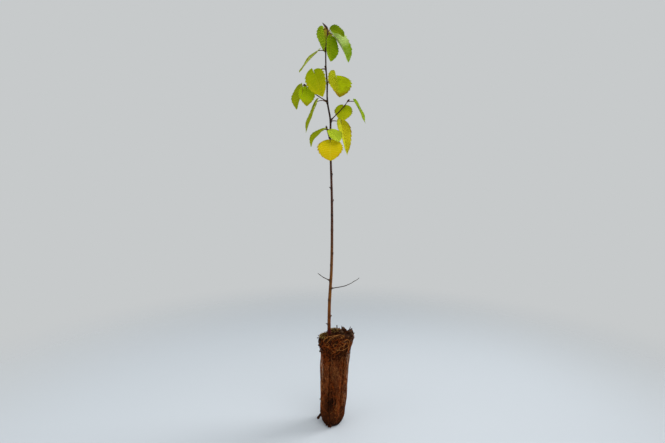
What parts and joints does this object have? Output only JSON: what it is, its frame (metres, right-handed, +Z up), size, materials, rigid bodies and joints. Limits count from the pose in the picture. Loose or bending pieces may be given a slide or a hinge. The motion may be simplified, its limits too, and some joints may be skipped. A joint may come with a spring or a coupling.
{
  "type": "birch sapling",
  "caption": "Young birch raised in a tray cell: a slender stem with dead twigs low down, a small crown of toothed leaves and side shoots, and a fluted plug of peat and roots.",
  "frame": {"origin": "middle of the flat underside of the root plug", "axes": "+Z up along the stem, +X to the right and +Y away from the viewer, seen from the front"},
  "size_m": [0.1089, 0.0518, 0.5765],
  "materials": {
    "peat": "damp peat bound by root threads",
    "bark": "smooth young bark",
    "dead_bark": "dry grey bark",
    "leaf_green": "thin leaf, soft sheen",
    "leaf_lime": "thin leaf, soft sheen",
    "leaf_yellow": "thin leaf, soft sheen"
  },
  "bodies": {
    "root": {"root_plug": "peat", "stem": "bark", "dead_twig_left": "dead_bark", "dead_twig_right": "dead_bark", "leaf_top_left": "leaf_green", "leaf_top_crest": "leaf_green", "leaf_top_right": "leaf_green", "leaf_top_front": "leaf_green", "leaf_high_left": "leaf_lime", "leaf_mid_left": "leaf_lime", "leaf_mid_right": "leaf_lime", "leaf_low_left": "leaf_lime", "leaf_low_right": "leaf_lime", "leaf_yellow_front": "leaf_yellow", "spray_left": "leaf_green", "spray_right": "leaf_lime", "spray_low": "leaf_lime"}
  },
  "joints": []
}
